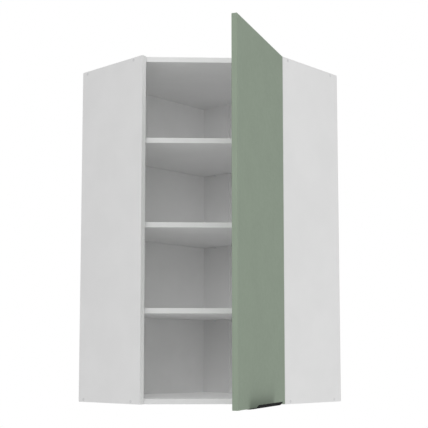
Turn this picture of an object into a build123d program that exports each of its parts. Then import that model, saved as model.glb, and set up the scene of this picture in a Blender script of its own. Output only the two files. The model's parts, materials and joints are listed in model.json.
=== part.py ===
from build123d import *
import math
import os

# A corner wall cabinet with a diagonal front, one hinged door, three loose shelves, three single-joint
# cup hinges and two adjustable wall hangers. All sizes are millimetres.
#
# The origin is the upright line where the two room walls meet, at the level of the cabinet's underside.
# X runs to the right, Y runs into the room corner and Z runs up. Each wall leaves the corner at 45 degrees
# to X. Along a wall, "along" is the distance from the corner and "out" is the distance off the wall.
# Pieces of the door are drawn with the door closed and then swung to the angle that the model rests at.

# ---- carcass ----
wall_run = 600.0            # from the room corner to the outer face of a side
side_depth = 290.0          # from the wall to the front end of a side
height = 1080.0
board = 16.0                # melamine-faced board
hardboard = 3.2
hardboard_inset = 1.5       # the back panels stop this far short of the carcass edges
edging = 0.8                # glued edging strip
panel_setback = 8.0         # top and bottom panels, behind the sides' inner front corners
shelf_setback = 18.0        # shelves, behind the same corners
shelf_side_gap = 1.0
shelf_back_gap = 1.5
first_shelf_height = 276.0  # underside of the lower shelf
shelf_pitch = 266.0
post_width = 122.0          # upright board in the room corner

# ---- carcass fasteners ----
screw_head_radius = 4.75
screw_radius = 3.2
screw_length = 49.0
screw_head_depth = 3.0
screw_fit = 0.05            # holes are this much larger in radius
rear_screw_left = 25.0      # rear screws of the left side, off the wall
rear_screw_right = 39.0     # rear screws of the right side, off the wall
front_screw_left = 41.0     # front screws of the left side, from its front end
front_screw_right = 27.0    # front screws of the right side, from its front end
cap_radius = 5.0
cap_thickness = 0.9
post_screw_inset = 32.0     # from the post's long edges
pin_radius = 2.5
pin_length = 16.0
pin_in_side = 8.5
rear_pin = 64.0             # rear shelf pins, off the wall
front_pin = 66.0            # front shelf pins, from the side's front end
staple_crown = 11.0
staple_width = 1.2
staple_wire = 0.7
staple_leg = 16.0
staple_proud = 0.25         # crown, above the back panel
staple_pitch = 190.0
staple_edge = 8.0           # staples, from the outer face of the board they enter

# ---- door ----
door_reveal = 7.2           # door's upright edges, inside the sides' outer front corners
door_thickness = 16.0
door_bottom = 2.0
door_top_gap = 2.0
door_gap = 3.0              # door's inner face, in front of the sides' outer front corners
door_edge_radius = 0.8
door_rest_angle = 67.0

# ---- handle: a bent sheet that wraps the door's lower edge and turns up in front of it ----
handle_length = 219.0
handle_shift = 8.0          # its middle, from the door's middle towards the free edge
handle_sheet = 1.5
handle_flange = 14.0        # flange on the door's inner face
handle_run = 15.5           # gently rising part, in front of the door
handle_run_slope = 8.0
handle_bend = 10.0          # outer radius between the rising part and the lip
handle_lip = 7.5            # straight part of the lip
handle_lip_slope = 52.0
handle_corner = 2.0         # at the lip's two ends
handle_screw_inset = 30.0
handle_screw_radius = 1.75
handle_screw_length = 12.0
handle_screw_head = 3.4
handle_screw_head_height = 1.4

# ---- hinge: the pin is fixed in the cup, and a swan-neck arm turns about it ----
hinge_end_inset = 102.0     # lowest and highest hinge, from the ends of the sides
hinge_over_shelf = 62.0     # middle hinge, above the middle shelf
pivot_from_edge = 7.5       # pin axis, from the door's hinge edge
pivot_depth = 3.4           # pin axis, below the door's inner face
cup_radius = 17.4
cup_fit = 0.1
cup_depth = 11.5
cup_wall = 1.2
cup_from_edge = 3.0         # bore's rim, from the door's hinge edge
flange_radius = 19.5
flange_thickness = 1.2
cup_screw_spacing = 48.0
cup_screw_offset = 6.0      # screw line, further from the edge than the cup's centre
cup_screw_radius = 1.75
cup_screw_length = 12.0
cup_screw_head = 3.6
cup_screw_head_height = 1.6
flange_lobe_radius = 7.5
ear_gap = 13.2              # between the two ears that hold the pin
ear_length = 6.0
hinge_pin_radius = 1.5
hinge_pin_length = 18.0
hinge_pin_fit = 0.05
arm_width = 11.0
arm_thickness = 4.2
eye_radius = 3.0
eye_gap = 0.35              # round the eye, in the cup's notch
neck_points = ((-6.6, 1.2), (-6.8, 8.6), (-4.2, 14.6))     # neck's centreline, from the pin axis
arm_end = 60.0              # along the side, from its front end
arm_pad_start = 16.0
arm_pad_width = 15.0
plate_height = 5.9          # arm's seat, off the side's inner face
plate_rib = (20.0, 62.0)    # rib's two ends, from the side's front end
plate_rib_width = 11.0
plate_wing = 2.2
plate_wing_width = 11.0
plate_screw_line = 37.0
plate_screw_spacing = 32.0
plate_screw_radius = 2.5
plate_screw_length = 11.0
plate_screw_head = 4.0
plate_screw_head_height = 1.5
arm_screw_line = 50.0
arm_screw_end = 1.0         # its point, off the side's inner face
arm_screw_radius = 2.4
arm_screw_head = 4.4
arm_screw_head_height = 2.2
adjusting_screw_line = 26.0
adjusting_screw_radius = 2.9
adjusting_screw_proud = 0.8

# ---- wall hanger: a carriage rises on one screw and a hook slides in it on the other ----
hanger_width = 20.0         # off the side's inner face
hanger_depth = 44.0
hanger_height = 58.0
hanger_wall = 2.0
hanger_front_wall = 3.0
hanger_top_gap = 0.5
hanger_lug = 13.0
hanger_travel_up = 7.5
hanger_travel_in = 6.0
slide_gap = 0.3
carriage_height = 26.0
carriage_back = 3.0         # behind it, to the hardboard
carriage_front_wall = 5.0
carriage_front_gap = 1.0    # to the housing's front wall
hook_width = 5.4
hook_height = 14.0
hook_off_side = 4.3
hook_out = 11.0             # behind the back panels
hook_tip = 3.0
hook_drop = 9.0
hook_inside = 26.0          # hook bar's front end, off the wall
hook_bore_depth = 21.0
hook_below_middle = 2.5     # hook's centre, below the housing's
hook_slot_gap = 1.0         # round the hook, in the back panel
hanger_corner_radius = 2.0
adjuster_radius = 1.5
adjuster_fit = 0.05
adjuster_head = 3.0
adjuster_head_height = 2.4
adjuster_head_gap = 0.5     # round the depth screw's head, in the housing's slot
adjuster_collar = 2.4
adjuster_collar_height = 1.5
height_screw_off_side = 14.0
height_screw_out = 20.0
height_screw_reach = 8.0    # above the hook's centre
depth_screw_end = 14.0      # off the wall
lug_screw_radius = 1.75
lug_screw_length = 13.0
lug_screw_head = 3.4
lug_screw_head_height = 1.8
lug_screw_inset = 10.0

# ---- worked out from the sizes above ----
ROOT_TWO = math.sqrt(2.0)
inner_face = wall_run - board                   # side's inner face, along a wall
shelf_levels = [first_shelf_height + index * shelf_pitch for index in range(3)]
side_front_y = -(wall_run + side_depth) / ROOT_TWO      # outer front corner of a side
inner_corner_y = -(inner_face + side_depth) / ROOT_TWO
panel_front_y = inner_corner_y + panel_setback
shelf_front_y = inner_corner_y + shelf_setback
door_inner_y = side_front_y - door_gap
door_outer_y = door_inner_y - door_thickness
door_edge_x = (wall_run - side_depth) / ROOT_TWO - door_reveal
pivot_x = door_edge_x - pivot_from_edge
pivot_y = door_inner_y - pivot_depth
cup_x = door_edge_x - cup_from_edge - cup_radius - cup_fit
cup_screw_x = cup_x - cup_screw_offset
hinge_heights = (hinge_end_inset, shelf_levels[1] + board + hinge_over_shelf, height - hinge_end_inset)
post_end = hardboard + post_width
hanger_top = height - board - hanger_top_gap
hanger_floor = hanger_top - hanger_height
hook_level = hanger_floor + hanger_height / 2 - hook_below_middle
left_screw_lines = (rear_screw_left, side_depth - front_screw_left)
right_screw_lines = (rear_screw_right, side_depth - front_screw_right)
LEFT_WALL = Plane(origin=(0, 0, 0), x_dir=(-1, -1, 0), z_dir=(0, 0, 1))
LOW = (Align.MIN, Align.MIN, Align.MIN)
FROM_BASE = (Align.CENTER, Align.CENTER, Align.MIN)
OVERCUT = 1.0               # a cut runs this far past the face where it starts or ends


# ---- helpers ----
def at_left(along, out):
    """Plan point beside the left wall."""
    return (out - along) / ROOT_TWO, -(out + along) / ROOT_TWO


def at_right(along, out):
    """Plan point beside the right wall."""
    x, y = at_left(along, out)
    return -x, y


def on_left(shape):
    """Place a shape drawn as (along, out, up) beside the left wall."""
    return LEFT_WALL.location * shape


def on_right(shape):
    """Place the mirror image of that shape beside the right wall."""
    return mirror(on_left(shape), about=Plane.YZ)


def block(x, y, z):
    """A box from three (low, high) pairs."""
    return Pos(x[0], y[0], z[0]) * Box(x[1] - x[0], y[1] - y[0], z[1] - z[0], align=LOW)


def rod(radius, start, end):
    """A round bar between two points."""
    run = Vector(end) - Vector(start)
    return Plane(origin=start, z_dir=run).location * Cylinder(radius, run.length, align=FROM_BASE)


def screw(start, direction, length, radius, head_radius, head_height, countersunk=False, clearance=0.0):
    """A screw whose head meets the surface at start; a countersunk head lies below that surface."""
    shank = radius + clearance
    head = head_radius + clearance
    if countersunk:
        outline = [(0, 0), (head, 0), (shank, head_height), (shank, length), (0, length)]
    else:
        outline = [(0, -head_height), (head, -head_height), (head, 0), (shank, 0),
                   (shank, length), (0, length)]
    profile = make_face(Polyline(*[(r, 0, depth) for r, depth in outline], close=True))
    return Plane(origin=start, z_dir=direction).location * revolve(profile, Axis.Z)


def slab(outline, bottom, thickness):
    """A flat piece with the given plan outline."""
    return Pos(0, 0, bottom) * extrude(make_face(Polyline(*outline, close=True)), thickness, dir=(0, 0, 1))


def swing(shape, angle=door_rest_angle):
    """Turn a shape about the hinge pins, as the door opens."""
    return Pos(pivot_x, pivot_y, 0) * Rot(0, 0, angle) * Pos(-pivot_x, -pivot_y, 0) * shape


def capsule(start, end, radius):
    """A flat bar outline with round ends between two plan points."""
    run = Vector(*end) - Vector(*start)
    middle = (Vector(*end) + Vector(*start)) / 2
    turn = math.degrees(math.atan2(run.Y, run.X))
    return Pos(middle.X, middle.Y, 0) * Rot(0, 0, turn) * SlotCenterToCenter(run.length, 2 * radius)


def save(name, *shapes):
    """Write the solids of one piece, or of one set of equal fasteners, to its own file."""
    solids = [solid for shape in shapes for solid in shape.solids()]
    content = solids[0] if len(solids) == 1 else Compound(solids)
    content.label = name
    export_step(content, f"parts/{name}.step")


# ---- carcass ----
def side_end(front_y, end_gap=0.0):
    """Left front corner of a board that runs from side to side, with its front at front_y."""
    along = inner_face - end_gap
    return at_left(along, -front_y * ROOT_TWO - along)


def mirrored(point):
    return -point[0], point[1]


def five_sided(front_y, back, end_gap=0.0):
    """Outline of a board that fills the carcass: two back edges, two ends and the diagonal front."""
    left_back = at_left(inner_face - end_gap, back)
    left_front = side_end(front_y, end_gap)
    return [at_left(back, back), left_back, left_front, mirrored(left_front), mirrored(left_back)]


def front_strip(front_y, bottom, end_gap=0.0):
    """Edging on the diagonal front edge of a five-sided board."""
    front = side_end(front_y, end_gap)
    behind = side_end(front_y + edging, end_gap)
    return slab([front, mirrored(front), mirrored(behind), behind], bottom, board)


def side_screws(lines, clearance=0.0):
    """Four countersunk screws through a side into the ends of the top and bottom panels."""
    screws = []
    for level in (board / 2, height - board / 2):
        for out in lines:
            start = (wall_run - cap_thickness, out, level)
            screws.append(screw(start, (-1, 0, 0), screw_length, screw_radius, screw_head_radius,
                                screw_head_depth, countersunk=True, clearance=clearance))
    return screws


def side_caps(lines, radius=cap_radius):
    """Four flush caps over the heads of the side screws."""
    caps = []
    for level in (board / 2, height - board / 2):
        for out in lines:
            caps.append(rod(radius, (wall_run - cap_thickness, out, level), (wall_run, out, level)))
    return caps


def side_pins(level, clearance=0.0):
    """Two shelf pins in a side, touching the underside of a shelf."""
    start = inner_face + pin_in_side
    middle = level - pin_radius
    return [rod(pin_radius + clearance, (start, out, middle), (start - pin_length, out, middle))
            for out in (rear_pin, side_depth - front_pin)]


def post_pin(level, clearance=0.0):
    """The shelf pin in the corner post."""
    along = post_end / 2
    face = hardboard + board
    return rod(pin_radius + clearance, (along, face - pin_in_side, level - pin_radius),
               (along, face - pin_in_side + pin_length, level - pin_radius))


def side_panel(lines):
    """A side in wall coordinates, with its screw, cap and shelf pin holes."""
    panel = block((inner_face, wall_run), (hardboard, side_depth - edging), (0, height))
    cuts = side_screws(lines, screw_fit) + side_caps(lines, cap_radius + screw_fit)
    for level in shelf_levels:
        cuts += side_pins(level, screw_fit)
    return panel - cuts


def side_edging():
    return block((inner_face, wall_run), (side_depth - edging, side_depth), (0, height))


def post_screws(clearance=0.0):
    """Screws through the top and bottom panels into the ends of the corner post."""
    screws = []
    for along in (hardboard + post_screw_inset, post_end - post_screw_inset):
        for level, direction in ((0.0, 1), (height, -1)):
            start = (along, hardboard + board / 2, level)
            screws.append(screw(start, (0, 0, direction), screw_length, screw_radius, screw_head_radius,
                                screw_head_depth, countersunk=True, clearance=clearance))
    return screws


def end_panel(bottom):
    """The top or bottom panel, drilled from both sides and from outside into the post."""
    panel = slab(five_sided(panel_front_y + edging, hardboard), bottom, board)
    cuts = [on_left(cut) for cut in side_screws(left_screw_lines, screw_fit)]
    cuts += [on_right(cut) for cut in side_screws(right_screw_lines, screw_fit)]
    cuts += [on_right(cut) for cut in post_screws(screw_fit)]
    return panel - cuts


def corner_post():
    post = block((hardboard, post_end), (hardboard, hardboard + board), (board, height - board))
    return on_right(post - post_screws(screw_fit) - [post_pin(level, screw_fit) for level in shelf_levels])


def hanger_slot():
    """The opening in a back panel that the hanger's hook passes through."""
    reach = hook_height / 2 + hanger_travel_up + hook_slot_gap
    low = inner_face - hook_off_side - hook_width - hook_slot_gap
    high = inner_face - hook_off_side + hook_slot_gap
    return block((low, high), (0, hardboard), (hook_level - reach, hook_level + reach))


def back_panel(start):
    """A hardboard sheet that starts at a distance from the corner and covers the back edges."""
    sheet = block((start, wall_run - hardboard_inset), (0, hardboard),
                  (hardboard_inset, height - hardboard_inset))
    return sheet - hanger_slot()


def staple(along, level, upright):
    """A staple through a back panel, with its crown along the edge of the board that it enters."""
    reach = staple_crown / 2
    half = staple_width / 2
    shape = block((-reach, reach), (-staple_proud, staple_leg), (-half, half))
    shape -= block((staple_wire - reach, reach - staple_wire), (staple_wire - staple_proud, staple_leg),
                   (-half, half))
    return Pos(along, 0, level) * Rot(0, 90 if upright else 0, 0) * shape


def shelf(level):
    """A loose shelf, notched to pass the corner post."""
    panel = slab(five_sided(shelf_front_y + edging, hardboard + shelf_back_gap, shelf_side_gap), level, board)
    notch = block((0, post_end + shelf_back_gap), (0, hardboard + board + shelf_back_gap),
                  (level - OVERCUT, level + board + OVERCUT))
    return panel - on_right(notch)


# ---- door ----
def cup_bore(level):
    """The drilled seat of a hinge cup in the door's inner face."""
    return rod(cup_radius + cup_fit, (cup_x, door_inner_y + OVERCUT, level),
               (cup_x, door_inner_y - cup_depth - cup_fit, level))


def door_panel():
    width = (-door_edge_x, door_edge_x)
    panel = block(width, (door_outer_y, door_inner_y), (door_bottom, height - door_top_gap))
    panel = fillet(panel.edges(), door_edge_radius)
    cuts = [cup_bore(level) for level in hinge_heights]
    return panel - cuts - cup_screws(screw_fit) - handle_screws(screw_fit)


def lip_points(above):
    """Profile of the handle in front of the door, at a height above its lower surface.

    The points are the start, the start, middle and end of the bend, and the tip.
    """
    first = math.radians(handle_run_slope)
    last = math.radians(handle_lip_slope)
    start_y = door_outer_y - door_edge_radius
    start_z = door_bottom - handle_sheet
    centre_y = start_y - handle_run * math.cos(first) + handle_bend * math.sin(first)
    centre_z = start_z + handle_run * math.sin(first) + handle_bend * math.cos(first)
    radius = handle_bend - above
    points = [(start_y + above * math.sin(first), start_z + above * math.cos(first))]
    for turn in (first, (first + last) / 2, last):
        points.append((centre_y - radius * math.sin(turn), centre_z - radius * math.cos(turn)))
    end_y, end_z = points[-1]
    return points + [(end_y - handle_lip * math.cos(last), end_z + handle_lip * math.sin(last))]


def handle():
    """A flange on the door's inner face, a web under its edge, and a rising run with an upturned lip."""
    back = door_inner_y + handle_sheet
    flange_top = door_bottom + handle_flange
    inner = lip_points(handle_sheet)
    outer = lip_points(0.0)
    with BuildPart() as profile:
        with BuildSketch(Plane.YZ.offset(-handle_shift - handle_length / 2)):
            with BuildLine():
                Polyline((door_inner_y, flange_top), (door_inner_y, door_bottom), (door_outer_y, door_bottom),
                         inner[0], inner[1])
                ThreePointArc(*inner[1:4])
                Polyline(inner[3], inner[4], outer[4], outer[3])
                ThreePointArc(*outer[3:0:-1])
                Polyline(outer[1], outer[0], (back, door_bottom - handle_sheet), (back, flange_top),
                         (door_inner_y, flange_top))
            make_face()
        extrude(amount=handle_length)
        tip = profile.faces().filter_by(lambda face: face.center().Y < outer[3][0]).sort_by(Axis.Z)[-1]
        ends = tip.edges().sort_by(Axis.X)
        fillet([ends[0], ends[-1]], handle_corner)
    return profile.part - handle_screws(screw_fit)


def handle_screws(clearance=0.0):
    """Two screws through the handle's flange into the door's inner face."""
    reach = handle_length / 2 - handle_screw_inset
    level = door_bottom + handle_flange / 2
    return [screw((side * reach - handle_shift, door_inner_y + handle_sheet, level), (0, -1, 0),
                  handle_screw_length, handle_screw_radius, handle_screw_head, handle_screw_head_height,
                  clearance=clearance) for side in (-1, 1)]


# ---- hinges ----
def cup_screws(clearance=0.0):
    """Two screws through the flange of each cup."""
    screws = []
    for level in hinge_heights:
        for side in (-1, 1):
            start = (cup_screw_x, door_inner_y + flange_thickness, level + side * cup_screw_spacing / 2)
            screws.append(screw(start, (0, -1, 0), cup_screw_length, cup_screw_radius, cup_screw_head,
                                cup_screw_head_height, clearance=clearance))
    return screws


def hinge_cup(level):
    """A cup with a winged flange, two ears for the pin and a notch that the arm passes through."""
    floor = door_inner_y - cup_depth
    rim = door_inner_y + flange_thickness
    cup = rod(cup_radius, (cup_x, floor, level), (cup_x, door_inner_y, level))
    face = Plane(origin=(0, door_inner_y, 0), x_dir=(1, 0, 0), z_dir=(0, 1, 0))
    wings = SlotCenterToCenter(cup_screw_spacing, 2 * flange_lobe_radius)
    outline = Pos(cup_x, -level) * Circle(flange_radius) + Pos(cup_screw_x, -level) * Rot(0, 0, 90) * wings
    cup += extrude(face * outline, flange_thickness)
    hollow = rod(cup_radius - cup_wall, (cup_x, floor + cup_wall, level), (cup_x, rim, level))
    ear_start = pivot_x - ear_length / 2
    far = cup_x + flange_radius
    for low, high in ((-flange_radius, -ear_gap / 2), (ear_gap / 2, flange_radius)):
        hollow -= block((ear_start, far), (floor, rim), (level + low, level + high))
    notch = block((pivot_x, far + OVERCUT), (pivot_y - eye_radius - eye_gap, rim + OVERCUT),
                  (level - ear_gap / 2, level + ear_gap / 2))
    return cup - hollow - notch - hinge_pin(level, screw_fit) - cup_screws(screw_fit)


def hinge_pin(level, clearance=0.0):
    """The upright pin of one hinge, held by the two ears in its cup."""
    half = hinge_pin_length / 2
    return rod(hinge_pin_radius + clearance, (pivot_x, pivot_y, level - half),
               (pivot_x, pivot_y, level + half))


def seat(out_from_front, off_side):
    """Plan point at the right side's inner face: distance from its front end, and off the face."""
    return at_right(inner_face - off_side, side_depth - out_from_front)


def hinge_arm(level):
    """A swan-neck arm: an eye on the pin, a neck round the door's edge and a pad on the mounting plate."""
    half = arm_thickness / 2
    middle = plate_height + half
    path = [(pivot_x, pivot_y)]
    path += [(pivot_x + x, pivot_y + y) for x, y in neck_points]
    path += [seat(0, middle), seat(arm_end - half, middle)]
    outline = Pos(pivot_x, pivot_y) * Circle(eye_radius)
    for start, end in zip(path, path[1:]):
        outline += capsule(start, end, half)
    arm = Pos(0, 0, level - arm_width / 2) * extrude(outline, arm_width, dir=(0, 0, 1))
    half_pad = arm_pad_width / 2
    pad = block((inner_face - plate_height - arm_thickness, inner_face - plate_height),
                (side_depth - arm_end, side_depth - arm_pad_start), (level - half_pad, level + half_pad))
    arm += on_right(pad)
    pin_hole = rod(hinge_pin_radius + hinge_pin_fit, (pivot_x, pivot_y, level - arm_width),
                   (pivot_x, pivot_y, level + arm_width))
    arm -= pin_hole
    return arm - on_right(arm_screw(level, screw_fit)) - on_right(adjusting_screw(level, screw_fit))


def plate_screws(level, clearance=0.0):
    """Two screws that hold a mounting plate to the right side."""
    screws = []
    for side in (-1, 1):
        start = (inner_face - plate_wing, side_depth - plate_screw_line,
                 level + side * plate_screw_spacing / 2)
        screws.append(screw(start, (1, 0, 0), plate_screw_length, plate_screw_radius, plate_screw_head,
                            plate_screw_head_height, clearance=clearance))
    return screws


def arm_screw(level, clearance=0.0):
    """The screw that clamps an arm to its mounting plate."""
    top = plate_height + arm_thickness
    start = (inner_face - top, side_depth - arm_screw_line, level)
    return screw(start, (1, 0, 0), top - arm_screw_end, arm_screw_radius, arm_screw_head,
                 arm_screw_head_height, clearance=clearance)


def adjusting_screw(level, clearance=0.0):
    """The headless screw in an arm that bears on the mounting plate."""
    out = side_depth - adjusting_screw_line
    top = inner_face - plate_height - arm_thickness - adjusting_screw_proud
    return rod(adjusting_screw_radius + clearance, (inner_face - plate_height, out, level), (top, out, level))


def mounting_plate(level):
    """A cross-shaped plate: a rib that the arm lies on and two wings for its screws."""
    half_rib = plate_rib_width / 2
    half_wing = plate_wing_width / 2
    rib = block((inner_face - plate_height, inner_face),
                (side_depth - plate_rib[1], side_depth - plate_rib[0]), (level - half_rib, level + half_rib))
    reach = plate_screw_spacing / 2
    line = side_depth - plate_screw_line
    wings = block((inner_face - plate_wing, inner_face), (line - half_wing, line + half_wing),
                  (level - reach, level + reach))
    for end in (level - reach, level + reach):
        wings += rod(half_wing, (inner_face - plate_wing, line, end), (inner_face, line, end))
    return rib + wings - plate_screws(level, screw_fit) - arm_screw(level, screw_fit)


# ---- wall hangers, in wall coordinates ----
def hanger_box(off_side, out, up):
    """A box given by its distance off the side's inner face, off the wall and its level."""
    return block((inner_face - off_side[1], inner_face - off_side[0]), out, up)


def lug_screws(clearance=0.0):
    """Two screws through the front lug of a hanger housing into the side."""
    out = hardboard + hanger_depth + hanger_lug / 2
    return [screw((inner_face - hanger_wall, out, level), (1, 0, 0), lug_screw_length, lug_screw_radius,
                  lug_screw_head, lug_screw_head_height, clearance=clearance)
            for level in (hanger_floor + lug_screw_inset, hanger_top - lug_screw_inset)]


def hanger_housing():
    """A moulded box, open to the back, with a slot for the depth screw and a lug in front."""
    front = hardboard + hanger_depth
    housing = hanger_box((0, hanger_width), (hardboard, front), (hanger_floor, hanger_top))
    housing = fillet(housing.edges().filter_by(Axis.Y), hanger_corner_radius)
    housing += hanger_box((0, hanger_wall), (hardboard, front + hanger_lug), (hanger_floor, hanger_top))
    hollow = hanger_box((hanger_wall, hanger_width - hanger_wall),
                        (hardboard - OVERCUT, front - hanger_front_wall),
                        (hanger_floor + hanger_wall, hanger_top - hanger_wall))
    head_room = adjuster_head + adjuster_head_gap
    centre = hook_off_side + hook_width / 2
    slot = hanger_box((centre - head_room, centre + head_room), (hardboard, front + OVERCUT),
                      (hook_level - hanger_travel_up - head_room, hook_level + hanger_travel_up + head_room))
    return housing - hollow - slot - height_screw(adjuster_fit) - lug_screws(screw_fit)


def hanger_carriage():
    """A block that the height screw lifts, with a channel for the hook and a wall for the depth screw."""
    front = hardboard + hanger_depth - hanger_front_wall - carriage_front_gap
    half = carriage_height / 2
    carriage = hanger_box((hanger_wall + slide_gap, hanger_width - hanger_wall - slide_gap),
                          (hardboard + carriage_back, front), (hook_level - half, hook_level + half))
    channel_half = hook_height / 2 + slide_gap
    channel = hanger_box((hook_off_side - slide_gap, hook_off_side + hook_width + slide_gap),
                         (0, front - carriage_front_wall),
                         (hook_level - channel_half, hook_level + channel_half))
    x = inner_face - height_screw_off_side
    screw_hole = rod(adjuster_radius + adjuster_fit, (x, height_screw_out, hook_level - half - OVERCUT),
                     (x, height_screw_out, hook_level + half + OVERCUT))
    return carriage - channel - screw_hole - depth_screw(adjuster_fit)


def height_screw(clearance=0.0):
    """The upright screw, held by its head and collar in the housing's floor."""
    x = inner_face - height_screw_off_side
    y = height_screw_out
    floor = hanger_floor + hanger_wall
    shank = rod(adjuster_radius + clearance, (x, y, hanger_floor), (x, y, hook_level + height_screw_reach))
    if clearance:
        return shank
    collar_base = floor + adjuster_fit
    collar = rod(adjuster_collar, (x, y, collar_base), (x, y, collar_base + adjuster_collar_height))
    head_top = hanger_floor - adjuster_fit
    return shank + collar + rod(adjuster_head, (x, y, head_top - adjuster_head_height), (x, y, hanger_floor))


def depth_screw(clearance=0.0):
    """The level screw, held by its head and collar in the carriage's front wall."""
    x = inner_face - hook_off_side - hook_width / 2
    front = hardboard + hanger_depth - hanger_front_wall - carriage_front_gap
    back = front - carriage_front_wall
    shank = rod(adjuster_radius + clearance, (x, depth_screw_end, hook_level),
                (x, front + adjuster_fit, hook_level))
    if clearance:
        return shank
    collar = rod(adjuster_collar, (x, back - adjuster_fit - adjuster_collar_height, hook_level),
                 (x, back - adjuster_fit, hook_level))
    head = rod(adjuster_head, (x, front + adjuster_fit, hook_level),
               (x, front + adjuster_fit + adjuster_head_height, hook_level))
    return shank + collar + head


def hanger_hook():
    """A steel bar whose tip drops behind the rail on the room wall."""
    off_side = (hook_off_side, hook_off_side + hook_width)
    half = hook_height / 2
    bar = hanger_box(off_side, (-hook_out, hook_inside), (hook_level - half, hook_level + half))
    tip = hanger_box(off_side, (-hook_out, -hook_out + hook_tip), (hook_level - half - hook_drop, hook_level))
    x = inner_face - hook_off_side - hook_width / 2
    bore = rod(adjuster_radius + adjuster_fit, (x, hook_inside - hook_bore_depth, hook_level),
               (x, hook_inside + OVERCUT, hook_level))
    return bar + tip - bore


# ---- build every piece ----
def evenly(start, end, pitch):
    """Positions from start to end, about one pitch apart."""
    count = max(1, round((end - start) / pitch))
    return [start + (end - start) * index / count for index in range(count + 1)]


def back_staples(start):
    """Staples round a back panel, into side, end panels and post; start is their line in the post."""
    levels = evenly(board / 2, height - board / 2, staple_pitch)
    lines = evenly(start, wall_run - staple_edge, staple_pitch)
    staples = [staple(along, level, True) for along in (lines[0], lines[-1]) for level in levels[1:-1]]
    staples += [staple(along, level, False) for along in lines[:-1] for level in (levels[0], levels[-1])]
    return staples


def build_carcass():
    left_side = side_panel(left_screw_lines) - lug_screws(screw_fit)
    right_side = side_panel(right_screw_lines) - lug_screws(screw_fit)
    for level in hinge_heights:
        right_side -= plate_screws(level, screw_fit)
    save("side_left", on_left(left_side))
    save("side_right", on_right(right_side))
    save("side_left_edging", on_left(side_edging()))
    save("side_right_edging", on_right(side_edging()))
    save("bottom_panel", end_panel(0.0))
    save("top_panel", end_panel(height - board))
    save("bottom_panel_edging", front_strip(panel_front_y, 0.0))
    save("top_panel_edging", front_strip(panel_front_y, height - board))
    save("corner_post", corner_post())
    save("back_panel_left", on_left(back_panel(0.0)))
    save("back_panel_right", on_right(back_panel(hardboard)))
    save("back_staples_left", *[on_left(item) for item in back_staples(hardboard + board / 2)])
    save("back_staples_right", *[on_right(item) for item in back_staples(post_end - staple_edge)])
    for name, level in zip(("lower", "middle", "upper"), shelf_levels):
        save(f"shelf_{name}", shelf(level))
        save(f"shelf_{name}_edging", front_strip(shelf_front_y, level, shelf_side_gap))
        pins = [on_left(pin) for pin in side_pins(level)]
        pins += [on_right(pin) for pin in side_pins(level) + [post_pin(level)]]
        save(f"shelf_{name}_pins", *pins)


def build_carcass_fasteners():
    save("side_screws_left", *[on_left(item) for item in side_screws(left_screw_lines)])
    save("side_screws_right", *[on_right(item) for item in side_screws(right_screw_lines)])
    save("side_caps_left", *[on_left(item) for item in side_caps(left_screw_lines)])
    save("side_caps_right", *[on_right(item) for item in side_caps(right_screw_lines)])
    save("post_screws", *[on_right(item) for item in post_screws()])


def build_door():
    save("door_panel", swing(door_panel()))
    save("handle", swing(handle()))
    save("handle_screws", *[swing(item) for item in handle_screws()])


def build_hinges():
    for name, level in zip(("bottom", "middle", "top"), hinge_heights):
        save(f"hinge_cup_{name}", swing(hinge_cup(level)))
        save(f"hinge_arm_{name}", hinge_arm(level))
        save(f"hinge_plate_{name}", on_right(mounting_plate(level)))
    save("hinge_pins", *[swing(hinge_pin(level)) for level in hinge_heights])
    save("hinge_cup_screws", *[swing(item) for item in cup_screws()])
    save("hinge_plate_screws", *[on_right(item) for level in hinge_heights for item in plate_screws(level)])
    save("hinge_arm_screws", *[on_right(arm_screw(level)) for level in hinge_heights])
    save("hinge_adjusting_screws", *[on_right(adjusting_screw(level)) for level in hinge_heights])


def build_hangers():
    for name, place in (("left", on_left), ("right", on_right)):
        save(f"hanger_housing_{name}", place(hanger_housing()))
        save(f"hanger_carriage_{name}", place(hanger_carriage()))
        save(f"hanger_hook_{name}", place(hanger_hook()))
        save(f"hanger_height_screw_{name}", place(height_screw()))
        save(f"hanger_depth_screw_{name}", place(depth_screw()))
        save(f"hanger_lug_screws_{name}", *[place(item) for item in lug_screws()])


os.makedirs("parts", exist_ok=True)
build_carcass()
build_carcass_fasteners()
build_door()
build_hinges()
build_hangers()
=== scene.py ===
"""Looks for the corner wall cabinet: materials, eased edges, floor, light and camera.

Lengths are metres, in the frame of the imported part: X to the right, Y into the room corner, Z up.
"""

import json
import math

import bmesh
import bpy
import numpy as np
from mathutils import Matrix, Vector


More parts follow.
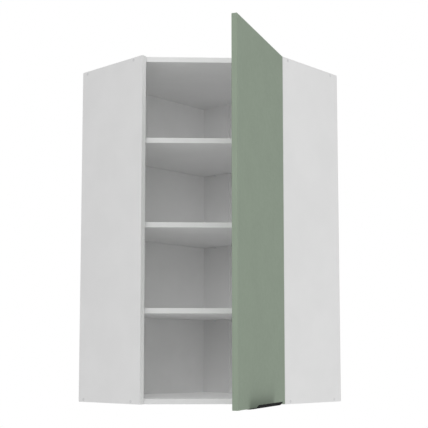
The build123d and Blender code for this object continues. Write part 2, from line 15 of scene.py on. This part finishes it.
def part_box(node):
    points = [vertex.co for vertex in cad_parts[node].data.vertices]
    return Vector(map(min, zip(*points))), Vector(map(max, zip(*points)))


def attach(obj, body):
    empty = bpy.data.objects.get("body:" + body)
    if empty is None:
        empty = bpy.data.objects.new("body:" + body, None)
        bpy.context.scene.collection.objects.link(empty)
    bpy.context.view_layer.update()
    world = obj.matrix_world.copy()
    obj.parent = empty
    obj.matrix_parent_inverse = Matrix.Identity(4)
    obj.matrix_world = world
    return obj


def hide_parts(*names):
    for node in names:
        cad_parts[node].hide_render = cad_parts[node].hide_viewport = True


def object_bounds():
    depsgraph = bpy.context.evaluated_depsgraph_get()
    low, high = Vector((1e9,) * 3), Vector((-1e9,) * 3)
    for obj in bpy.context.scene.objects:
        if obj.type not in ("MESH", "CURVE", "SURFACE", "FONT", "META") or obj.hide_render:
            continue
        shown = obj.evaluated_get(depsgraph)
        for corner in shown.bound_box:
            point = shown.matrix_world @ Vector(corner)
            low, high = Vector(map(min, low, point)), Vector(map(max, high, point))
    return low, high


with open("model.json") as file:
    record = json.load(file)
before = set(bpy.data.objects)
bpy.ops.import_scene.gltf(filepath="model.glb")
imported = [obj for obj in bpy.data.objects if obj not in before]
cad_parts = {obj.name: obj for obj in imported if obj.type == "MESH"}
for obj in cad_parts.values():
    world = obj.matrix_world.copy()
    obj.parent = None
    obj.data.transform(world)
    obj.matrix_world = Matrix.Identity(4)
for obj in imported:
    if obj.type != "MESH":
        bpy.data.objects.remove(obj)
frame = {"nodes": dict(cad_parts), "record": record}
rest_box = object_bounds()
nodes = frame["nodes"]
record = frame["record"]
slot_of = {part["node"]: part["material_slot"] for part in record["subparts"]}
body_of = {name: body for body, names in record["behaviour"]["bodies"].items() for name in names}
cabinet_low = Vector(rest_box[0])
cabinet_high = Vector(rest_box[1])
millimetre = 0.001

# ---- camera: fitted to the photograph's edges, with less shift and more tilt than the photograph has ----
camera_place = (-0.0976, -3.6090, 0.1411)
camera_pitch = 5.872        # degrees above level
camera_yaw = -1.962         # degrees, negative towards the right
camera_lens = 82.327        # millimetres
camera_sensor = 36.0        # millimetres wide
camera_shift = 0.1          # upward, as a share of the picture
camera_far = 200.0          # metres

# ---- studio ----
floor_drop = 1.75           # the floor, below the underside
floor_fade = 2.5            # the floor starts to fade this far from the corner
floor_reach = 10.0          # and ends here
floor_sides = 96
dome_above = 0.92           # strength of the dome straight above
dome_level = 0.375          # at the horizon and below
soft_lights = {             # place, width and watts of the large round lights
    "key": ((2.6, -3.4, 2.2), 3.0, 22.5),
    "fill": ((-0.7, -4.2, 1.5), 2.6, 37.3),
}
shadowless_lights = {       # direction and strength of the even light that fills the shadows
    "from_above": ((0.0, 0.0, -1.0), 0.684),
    "from_right": ((-1.0, 0.05, 0.0), 0.160),
}
shadowless_angle = 0.2      # radians

# ---- small shapes ----
eased_width = {             # rounding of the edges, in millimetres, by material slot
    "white_board": 0.3,
    "white_edging": 0.25,
    "black_metal": 0.25,
    "zinc_steel": 0.3,
    "grey_cap": 0.2,
    "nickel_casting": 0.35,
    "nickel_steel": 0.2,
    "white_plastic": 0.3,
    "hanger_steel": 0.3,
}
weld_distance = 0.001 * millimetre
bare_band = 0.05 * millimetre    # chipboard shows from this far below the sides' upper ends
screw_sides = 36
screw_end_slack = 0.02 * millimetre
screw_decimals = 2               # a screw's profile is read to this many decimals of a millimetre
smooth_angle = 32                # degrees; edges of a screw sharper than this stay sharp
dome_steps = 6                   # of the rounding of a screw's head
dome_flat = 0.45                 # radius of the flat on a domed head, as a share of the head's
dome_rise = 0.8                  # height of the dome, as a share of the height of the head's rim
cross_arm = 0.56                 # the cross recess in shares of the head's radius
cross_half_width = 0.13
cross_depth = 0.5
cross_overrun = 0.3              # how far its cutter stands out of the head, as a share of its depth
cross_outer_scale = 1.15         # width of the cutter at its outer end
cross_inner_scale = 0.42         # and at its tip

# ---- colours, linear ----
board_white = 0.80
sage_green = (0.280, 0.338, 0.265)
chip_dark = (0.30, 0.19, 0.10, 1.0)
chip_light = (0.56, 0.41, 0.25, 1.0)
chip_speck = (0.11, 0.065, 0.035, 1.0)
fibre_dark = (0.15, 0.088, 0.048, 1.0)
fibre_light = (0.29, 0.180, 0.105, 1.0)
fibre_cloud = (0.22, 0.14, 0.082, 1.0)


# ---- node helpers ----
def node(tree, kind, inputs=(), **settings):
    """Adds a node. An input is given by name or number, as a value or as another node's output."""
    made = tree.nodes.new(kind)
    for name, value in settings.items():
        setattr(made, name, value)
    for key, value in dict(inputs).items():
        if isinstance(value, bpy.types.NodeSocket):
            tree.links.new(value, made.inputs[key])
        else:
            made.inputs[key].default_value = value
    return made


def object_place(tree):
    """The point on the object, in metres, as a socket."""
    return node(tree, "ShaderNodeTexCoord").outputs["Object"]


def noise(tree, place, per_metre, detail=3.0, roughness=0.5):
    """Soft noise from 0 to 1 with features of 1 / per_metre."""
    settings = {"Vector": place, "Scale": per_metre, "Detail": detail, "Roughness": roughness}
    return node(tree, "ShaderNodeTexNoise", settings).outputs[0]


def ranged(tree, value, low, high, start=0.35, end=0.65):
    """Maps a value between start and end to low and high."""
    settings = {"Value": value, "From Min": start, "From Max": end, "To Min": low, "To Max": high}
    return node(tree, "ShaderNodeMapRange", settings).outputs[0]


def mixed(tree, factor, first, second):
    """A colour between two colours. The numbers are a Mix node's sockets for the factor and the colours."""
    return node(tree, "ShaderNodeMix", {0: factor, 6: first, 7: second}, data_type="RGBA").outputs[2]


def grey(level):
    """A grey, linear."""
    return (level, level, level, 1.0)


def tinted(colour, share):
    """The colour made lighter or darker by a share."""
    return tuple(min(1.0, part * share) for part in colour[:3]) + (1.0,)


def new_material(name):
    """A material with a lone Principled shader, as (material, tree, shader)."""
    material = bpy.data.materials.new(name)
    material.use_nodes = True
    tree = material.node_tree
    tree.nodes.clear()
    shader = node(tree, "ShaderNodeBsdfPrincipled")
    output = node(tree, "ShaderNodeOutputMaterial")
    tree.links.new(shader.outputs[0], output.inputs[0])
    return material, tree, shader


def plug(tree, shader, name, value):
    """Joins an output to one of the shader's inputs."""
    tree.links.new(value, shader.inputs[name])


def bumped(tree, height, depth):
    """A normal roughened by height, whose full range is depth in metres."""
    return node(tree, "ShaderNodeBump", {"Height": height, "Distance": depth, "Strength": 1.0}).outputs[0]


# ---- materials ----
def chipboard_look(tree, place):
    """Colour and height of raw chipboard: pressed flakes with dark specks between them."""
    flakes = node(tree, "ShaderNodeTexVoronoi", {"Vector": place, "Scale": 420.0, "Randomness": 1.0})
    flake_tone = node(tree, "ShaderNodeSeparateColor", {"Color": flakes.outputs["Color"]}).outputs["Red"]
    tone = ranged(tree, flake_tone, low=0.0, high=1.0, start=0.0, end=1.0)
    colour = mixed(tree, tone, chip_dark, chip_light)
    grit = noise(tree, place, per_metre=900.0)
    specks = ranged(tree, grit, low=0.0, high=0.75, start=0.56, end=0.70)
    colour = mixed(tree, specks, colour, chip_speck)
    return colour, flakes.outputs["Distance"]


def stretched(tree, place, along_z):
    """The place with its Z scaled, which draws a texture out along Z where along_z is below 1."""
    return node(tree, "ShaderNodeMapping", {"Vector": place, "Scale": (1.0, 1.0, along_z)}).outputs[0]


def side_mask(tree, vector, start, axis=2):
    """1 where the vector's part along an axis is past start and 0 elsewhere."""
    part = node(tree, "ShaderNodeSeparateXYZ", {0: vector}).outputs[axis]
    return node(tree, "ShaderNodeMath", {0: part, 1: start}, operation="GREATER_THAN").outputs[0]


def added(tree, base, factor, part):
    """base + factor * part, as a socket."""
    return node(tree, "ShaderNodeMath", {0: factor, 1: part, 2: base}, operation="MULTIPLY_ADD").outputs[0]


def pearl_white(name, raw_above=None, spread=0.01, raw_rougher=0.4):
    """White melamine foil with its fine pearl texture; above raw_above the board is bare chipboard."""
    material, tree, shader = new_material(name)
    place = object_place(tree)
    patches = ranged(tree, noise(tree, place, per_metre=9.0, detail=2.0), low=0.0, high=1.0)
    height = noise(tree, place, per_metre=1400.0, detail=2.0)
    colour = mixed(tree, patches, grey(board_white - spread), grey(board_white + spread))
    rough = ranged(tree, noise(tree, place, per_metre=60.0), low=0.42, high=0.52)
    if raw_above is not None:
        mask = side_mask(tree, place, raw_above)
        raw_colour, raw_height = chipboard_look(tree, place)
        colour = mixed(tree, mask, colour, raw_colour)
        rough = added(tree, rough, mask, raw_rougher)
        height = added(tree, height, mask, raw_height)
    plug(tree, shader, "Base Color", colour)
    plug(tree, shader, "Roughness", rough)
    plug(tree, shader, "Normal", bumped(tree, height, depth=0.02 * millimetre))
    shader.inputs["Specular IOR Level"].default_value = 0.35
    return material


def hardboard_look(white_spread=0.02):
    """Hardboard, white-faced inside and bare brown fibre towards the wall."""
    material, tree, shader = new_material("hardboard_sheet")
    place = object_place(tree)
    normal = node(tree, "ShaderNodeTexCoord").outputs["Normal"]
    bare = side_mask(tree, normal, start=0.5, axis=1)
    fibres = stretched(tree, place, along_z=0.3)
    felt = noise(tree, fibres, per_metre=700.0, detail=5.0, roughness=0.7)
    cloudy = noise(tree, place, per_metre=14.0)
    brown = mixed(tree, ranged(tree, felt, low=0.0, high=1.0), fibre_dark, fibre_light)
    brown = mixed(tree, ranged(tree, cloudy, low=0.0, high=0.35), brown, fibre_cloud)
    whiter = ranged(tree, cloudy, low=0.0, high=1.0)
    white = mixed(tree, whiter, grey(board_white - white_spread), grey(board_white))
    rough = ranged(tree, noise(tree, place, per_metre=80.0), low=0.5, high=0.62)
    plug(tree, shader, "Base Color", mixed(tree, bare, white, brown))
    plug(tree, shader, "Roughness", rough)
    plug(tree, shader, "Normal", bumped(tree, felt, depth=0.03 * millimetre))
    shader.inputs["Specular IOR Level"].default_value = 0.3
    return material


def plain_finish(name, colour, rough, grain, depth, spread=0.04, metallic=0.0, specular=0.5, patch=25.0,
                 rough_patch_factor=6):
    """A painted, moulded or plated surface: faint patches, uneven roughness and a fine grain.

    patch and grain are counted per metre, and depth is the grain's depth in millimetres.
    """
    material, tree, shader = new_material(name)
    place = object_place(tree)
    patches = ranged(tree, noise(tree, place, patch), low=0.0, high=1.0)
    tone = mixed(tree, patches, tinted(colour, 1 - spread), tinted(colour, 1 + spread))
    roughness = ranged(tree, noise(tree, place, patch * rough_patch_factor), rough[0], rough[1])
    fine_grain = noise(tree, place, grain, detail=4.0)
    plug(tree, shader, "Base Color", tone)
    plug(tree, shader, "Roughness", roughness)
    plug(tree, shader, "Normal", bumped(tree, fine_grain, depth * millimetre))
    shader.inputs["Metallic"].default_value = metallic
    shader.inputs["Specular IOR Level"].default_value = specular
    return material


def brushed_metal(name, colour, rough, spread=0.03):
    """Plated steel with faint drawing lines and small stains in the plating."""
    material, tree, shader = new_material(name)
    place = object_place(tree)
    drawn = stretched(tree, place, along_z=0.12)
    lines = noise(tree, drawn, per_metre=2600.0, detail=2.0)
    stains = noise(tree, place, per_metre=160.0, detail=2.0)
    stained = ranged(tree, stains, low=0.0, high=1.0)
    tone = mixed(tree, stained, tinted(colour, 1 - spread), tinted(colour, 1 + spread))
    plug(tree, shader, "Base Color", tone)
    plug(tree, shader, "Roughness", ranged(tree, stains, rough[0], rough[1]))
    plug(tree, shader, "Normal", bumped(tree, lines, depth=0.0015 * millimetre))
    shader.inputs["Metallic"].default_value = 1.0
    return material


def make_materials():
    """The finished material of each slot in the record."""
    return {
        "white_board": pearl_white("white_melamine"),
        "white_edging": plain_finish(
            "white_edging_strip", grey(board_white), rough=(0.38, 0.46), grain=900.0, depth=0.01,
            spread=0.01, specular=0.35),
        "hardboard": hardboard_look(),
        "green_front": plain_finish(
            "sage_green_front", sage_green, rough=(0.52, 0.60), grain=1100.0, depth=0.02,
            spread=0.015, specular=0.2, patch=12.0),
        "black_metal": plain_finish(
            "black_coating", (0.010, 0.010, 0.0105), rough=(0.84, 0.92), grain=1800.0, depth=0.02,
            spread=0.2, specular=0.1, patch=60.0),
        "zinc_steel": brushed_metal("zinc_plated_steel", (0.74, 0.75, 0.76), rough=(0.46, 0.56)),
        "grey_cap": plain_finish(
            "grey_cap_plastic", (0.69, 0.69, 0.695), rough=(0.42, 0.52), grain=1200.0, depth=0.01,
            spread=0.03, patch=120.0),
        "nickel_casting": plain_finish(
            "nickel_plated_casting", (0.60, 0.585, 0.555), rough=(0.26, 0.32), grain=1200.0, depth=0.002,
            spread=0.02, metallic=1.0, patch=90.0),
        "nickel_steel": brushed_metal("nickel_plated_steel", (0.63, 0.62, 0.59), rough=(0.20, 0.26)),
        "white_plastic": plain_finish(
            "white_moulded_plastic", (0.78, 0.78, 0.765), rough=(0.34, 0.44), grain=1300.0, depth=0.012,
            spread=0.02, patch=90.0),
        "hanger_steel": brushed_metal("pressed_hanger_steel", (0.58, 0.59, 0.60), rough=(0.30, 0.38)),
    }


def dress(obj, material):
    """Gives an object one material."""
    obj.data.materials.clear()
    obj.data.materials.append(material)


def ease_edges(obj, width, segments=2, angle=35.0):
    """Small rounded edges on a CAD node, as modifiers; width is in millimetres and angle in degrees."""
    weld = obj.modifiers.new("weld", "WELD")
    weld.merge_threshold = weld_distance
    bevel = obj.modifiers.new("eased_edges", "BEVEL")
    bevel.width = width * millimetre
    bevel.segments = segments
    bevel.limit_method = "ANGLE"
    bevel.angle_limit = math.radians(angle)
    bevel.harden_normals = False
    bevel.use_clamp_overlap = True
    flat = obj.modifiers.new("flat_faces", "WEIGHTED_NORMAL")
    flat.mode = "FACE_AREA"
    flat.weight = 50
    flat.keep_sharp = True


def dress_nodes(materials):
    """Materials for every CAD node, and eased edges where the real piece has them."""
    board_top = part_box("side_left")[1][2]
    cut_side = pearl_white("white_melamine_side", raw_above=board_top - bare_band)
    for name, obj in nodes.items():
        slot = slot_of[name]
        dress(obj, cut_side if name in ("side_left", "side_right") else materials[slot])
        if slot in eased_width:
            ease_edges(obj, eased_width[slot])


# ---- screws: turned from the CAD solids' own sizes, with a domed or flat head and a cross recess ----
def solids_of(mesh):
    """The corner points of each separate solid in a mesh, one array each."""
    welded = bmesh.new()
    welded.from_mesh(mesh)
    bmesh.ops.remove_doubles(welded, verts=welded.verts, dist=weld_distance)
    seen = set()
    solids = []
    for first in welded.verts:
        if first in seen:
            continue
        seen.add(first)
        waiting = [first]
        points = []
        while waiting:
            vert = waiting.pop()
            points.append(vert.co[:])
            for neighbour in (edge.other_vert(vert) for edge in vert.link_edges):
                if neighbour not in seen:
                    seen.add(neighbour)
                    waiting.append(neighbour)
        solids.append(np.array(points))
    welded.free()
    return solids


def turned_solid(points, facing):
    """Where a turned solid's head is, which way it points, and its profile as (depth, radius) pairs.

    The head is the wider end, or the end towards facing where that is given.
    """
    spread, directions = np.linalg.eigh(np.cov(points.T))
    axis = directions[:, 2] if spread[1] - spread[0] < spread[2] - spread[1] else directions[:, 0]
    across = points - np.outer(points @ axis, axis)
    middle = (across.max(axis=0) + across.min(axis=0)) / 2
    middle -= axis * (middle @ axis)
    radii = np.linalg.norm(across - middle, axis=1)
    along = points @ axis
    low = along.min()
    high = along.max()
    width = {end: radii[abs(along - end) < screw_end_slack].max() for end in (low, high)}
    head_is_high = (axis @ np.array(facing) > 0) if facing else width[high] > width[low]
    head, sign = (high, -1) if head_is_high else (low, 1)
    rings = {}
    for depth, radius in zip(sign * (along - head), radii):
        level = round(depth / millimetre, screw_decimals)
        rings.setdefault(level, set()).add(round(radius / millimetre, screw_decimals))
    profile = [(0.0, max(rings.pop(min(rings))))]
    for depth in sorted(rings):
        steps = sorted(rings[depth], key=lambda radius: abs(radius - profile[-1][1]))
        profile.append((depth, steps[0]))
        if len(steps) > 1:
            profile.append((depth, steps[-1]))
    return middle + axis * head, axis * sign, profile


def domed(profile):
    """The profile with its head's flat top and sharp rim made into a low dome."""
    radius = profile[0][1]
    rise = dome_rise * profile[1][0]
    flat = dome_flat * radius
    turns = [math.pi / 2 * step / dome_steps for step in range(dome_steps + 1)]
    dome = [(rise * (1 - math.cos(turn)), flat + (radius - flat) * math.sin(turn)) for turn in turns]
    return dome + profile[1:]


def closed_mesh(name, outlines):
    """A closed mesh through outlines with as many corners each, one after the other."""
    shape = bmesh.new()
    rings = [[shape.verts.new(corner) for corner in outline] for outline in outlines]
    sides = len(rings[0])
    for above, below in zip(rings, rings[1:]):
        for side in range(sides):
            after = (side + 1) % sides
            shape.faces.new((above[side], above[after], below[after], below[side]))
    shape.faces.new(rings[0][::-1])
    shape.faces.new(rings[-1])
    bmesh.ops.recalc_face_normals(shape, faces=shape.faces)
    mesh = bpy.data.meshes.new(name)
    shape.to_mesh(mesh)
    shape.free()
    return mesh


def turned_mesh(name, profile):
    """A closed mesh turned about +Z from (depth, radius) pairs in millimetres."""
    turns = [math.tau * side / screw_sides for side in range(screw_sides)]
    return closed_mesh(name, [[(radius * math.cos(turn), radius * math.sin(turn), depth) for turn in turns]
                              for depth, radius in profile])


def cross_recess(radius):
    """A tapered cross to cut from a head of that radius, in millimetres."""
    arm = cross_arm * radius
    half = cross_half_width * radius
    depth = cross_depth * radius
    outline = []
    for quarter in range(4):
        turn = Matrix.Rotation(quarter * math.pi / 2, 3, "Z")
        outline += [turn @ Vector(corner) for corner in ((arm, -half, 0), (arm, half, 0), (half, half, 0))]
    ends = ((cross_outer_scale, -cross_overrun * depth), (cross_inner_scale, depth))
    return closed_mesh("cross_recess", [[(scale * corner.x, scale * corner.y, level) for corner in outline]
                                        for scale, level in ends])


def carved(mesh, cutter):
    """A new mesh: the first with the second's volume taken out."""
    body = bpy.data.objects.new("blank", mesh)
    tool = bpy.data.objects.new("cutter", cutter)
    for obj in (body, tool):
        bpy.context.collection.objects.link(obj)
    recess = body.modifiers.new("recess", "BOOLEAN")
    recess.operation = "DIFFERENCE"
    recess.solver = "EXACT"
    recess.object = tool
    made = bpy.data.meshes.new_from_object(body.evaluated_get(bpy.context.evaluated_depsgraph_get()))
    for obj in (body, tool):
        bpy.data.objects.remove(obj)
    return made


def make_screws(node_name, material, raised, facing=None):
    """Detailed screws in place of a CAD node of plain ones; raised heads are domed."""
    pieces = [turned_solid(points, facing) for points in solids_of(nodes[node_name].data)]
    joined = bmesh.new()
    for head, direction, profile in pieces:
        blank = turned_mesh(node_name, domed(profile) if raised else profile)
        screw = carved(blank, cross_recess(profile[0][1]))
        turn = Vector(direction).to_track_quat("Z", "Y").to_matrix().to_4x4()
        screw.transform(Matrix.Translation(head) @ turn @ Matrix.Scale(millimetre, 4))
        joined.from_mesh(screw)
    mesh = bpy.data.meshes.new(node_name + "_detail")
    joined.to_mesh(mesh)
    joined.free()
    mesh.shade_smooth()
    mesh.set_sharp_from_angle(angle=math.radians(smooth_angle))
    screws = bpy.data.objects.new(node_name + "_detail", mesh)
    bpy.context.collection.objects.link(screws)
    dress(screws, material)
    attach(screws, body_of[node_name])
    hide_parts(node_name)


def make_all_screws(materials):
    """Every node of screws that can be seen, with domed or flat heads."""
    into_cabinet = (-1.0, 1.0, 0.0)
    for name, raised, facing in (
        ("hinge_cup_screws", True, None),
        ("hinge_plate_screws", True, None),
        ("hinge_arm_screws", True, None),
        ("hinge_adjusting_screws", False, into_cabinet),
        ("handle_screws", True, None),
        ("post_screws", False, None),
        ("hanger_lug_screws_left", True, None),
        ("hanger_lug_screws_right", True, None),
        ("hanger_height_screw_left", True, None),
        ("hanger_height_screw_right", True, None),
        ("hanger_depth_screw_left", True, None),
        ("hanger_depth_screw_right", True, None),
    ):
        make_screws(name, materials[slot_of[name]], raised, facing)


# ---- studio ----
def make_floor():
    """A pale round floor that fades out into the white backdrop."""
    mesh = bpy.data.meshes.new("floor")
    level = cabinet_low.z - floor_drop
    turns = [math.tau * index / floor_sides for index in range(floor_sides)]
    rim = [(floor_reach * math.cos(turn), floor_reach * math.sin(turn), level) for turn in turns]
    mesh.from_pydata(rim, [], [range(floor_sides)])
    floor = bpy.data.objects.new("floor", mesh)
    bpy.context.collection.objects.link(floor)
    material, tree, shader = new_material("pale_floor")
    place = object_place(tree)
    cloudy = ranged(tree, noise(tree, place, per_metre=3.0), low=0.0, high=1.0)
    plug(tree, shader, "Base Color", mixed(tree, cloudy, grey(0.84), grey(0.86)))
    shader.inputs["Roughness"].default_value = 0.9
    shader.inputs["Specular IOR Level"].default_value = 0.1
    flat = node(tree, "ShaderNodeVectorMath", {0: place, 1: (1.0, 1.0, 0.0)}, operation="MULTIPLY").outputs[0]
    away = node(tree, "ShaderNodeVectorMath", {0: flat}, operation="LENGTH").outputs["Value"]
    plug(tree, shader, "Alpha", ranged(tree, away, low=1.0, high=0.0, start=floor_fade, end=floor_reach))
    mesh.materials.append(material)


def make_world():
    """A white dome, brighter above than at its foot, that the camera sees as plain white."""
    world = bpy.data.worlds.new("white_dome")
    world.use_nodes = True
    tree = world.node_tree
    tree.nodes.clear()
    direction = node(tree, "ShaderNodeTexCoord").outputs["Generated"]
    upward = node(tree, "ShaderNodeSeparateXYZ", {0: direction}).outputs["Z"]
    strength = ranged(tree, upward, low=dome_level, high=dome_above, start=0.0, end=1.0)
    glow = node(tree, "ShaderNodeBackground", {"Color": grey(1.0), "Strength": strength})
    plain = node(tree, "ShaderNodeBackground", {"Color": grey(1.0), "Strength": 1.0})
    seen = node(tree, "ShaderNodeLightPath").outputs["Is Camera Ray"]
    shader = node(tree, "ShaderNodeMixShader", {0: seen, 1: glow.outputs[0], 2: plain.outputs[0]})
    output = node(tree, "ShaderNodeOutputWorld")
    tree.links.new(shader.outputs[0], output.inputs[0])
    bpy.context.scene.world = world


def add_light(name, kind, strength, direction):
    """A light that shines along a direction, as (object, its data)."""
    data = bpy.data.lights.new(name, kind)
    data.energy = strength
    light = bpy.data.objects.new(name, data)
    light.rotation_euler = Vector(direction).to_track_quat("-Z", "Y").to_euler()
    bpy.context.collection.objects.link(light)
    return light, data


def make_lights():
    """Two large soft lights in front and a little even light that casts no shadow."""
    centre = (cabinet_low + cabinet_high) / 2
    for name, (place, width, power) in soft_lights.items():
        light, data = add_light(name, "AREA", power, centre - Vector(place))
        data.shape = "DISK"
        data.size = width
        light.location = place
    for name, (direction, strength) in shadowless_lights.items():
        data = add_light(name, "SUN", strength, direction)[1]
        data.angle = shadowless_angle
        data.use_shadow = False


def make_camera():
    """The camera, without roll."""
    data = bpy.data.cameras.new("camera")
    data.sensor_width = camera_sensor
    data.lens = camera_lens
    data.shift_y = camera_shift
    data.clip_end = camera_far
    camera = bpy.data.objects.new("camera", data)
    camera.location = camera_place
    camera.rotation_euler = (math.radians(90 + camera_pitch), 0.0, math.radians(camera_yaw))
    bpy.context.collection.objects.link(camera)
    bpy.context.scene.camera = camera


materials = make_materials()
dress_nodes(materials)
make_all_screws(materials)
make_floor()
make_world()
make_lights()
make_camera()
bpy.context.scene.view_settings.view_transform = "Standard"
